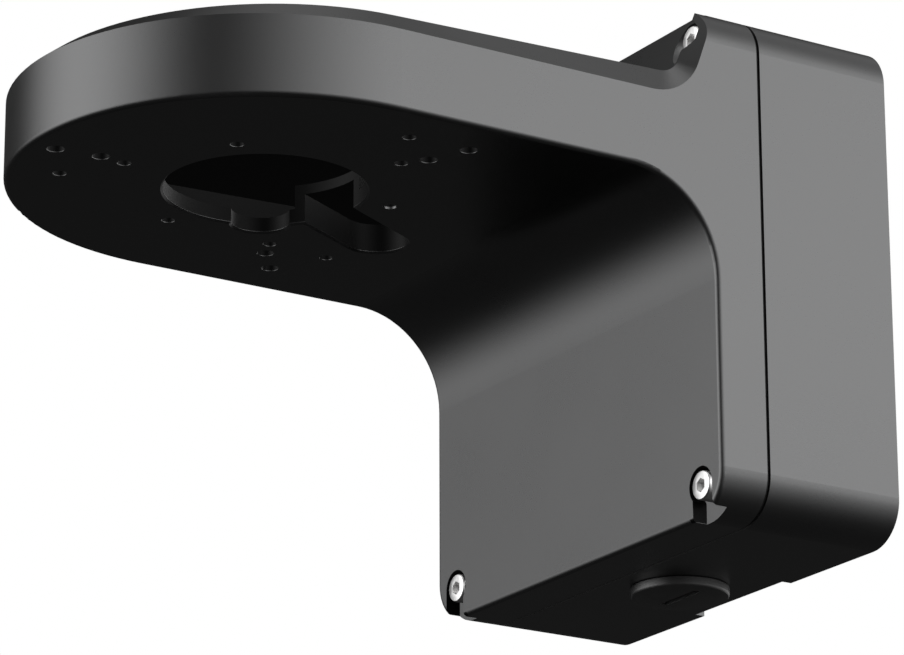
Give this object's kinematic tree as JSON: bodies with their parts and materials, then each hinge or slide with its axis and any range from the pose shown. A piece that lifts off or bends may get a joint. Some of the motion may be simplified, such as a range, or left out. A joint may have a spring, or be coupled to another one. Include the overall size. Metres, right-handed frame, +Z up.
{
  "type": "camera wall bracket",
  "caption": "Dark cast metal wall bracket for a surveillance camera: a hollow arm with a round drilled camera plate on a rounded wall box.",
  "frame": {"origin": "middle of the wall box's back face, on the wall and at the centre of the wall screw pattern", "axes": "+Y into the wall, so the arm reaches out along -Y; X across; +Z up, with the camera plate facing down"},
  "size_m": [0.122, 0.1975, 0.1274],
  "materials": {
    "body_paint": "satin charcoal powder coat on cast aluminium",
    "gasket_rubber": "matte black",
    "screw_steel": "bright stainless",
    "ring_plastic": "natural nylon",
    "plug_plastic": "moulded charcoal plastic"
  },
  "bodies": {
    "root": {"arm_housing": "body_paint", "wall_box": "body_paint", "housing_gasket": "gasket_rubber", "screw_lower_left": "screw_steel", "screw_lower_right": "screw_steel", "screw_upper_left": "screw_steel", "screw_upper_right": "screw_steel", "screw_ring_lower_left": "ring_plastic", "screw_ring_lower_right": "ring_plastic", "screw_ring_upper_left": "ring_plastic", "screw_ring_upper_right": "ring_plastic", "conduit_plug": "plug_plastic", "plug_ring": "gasket_rubber"}
  },
  "joints": []
}
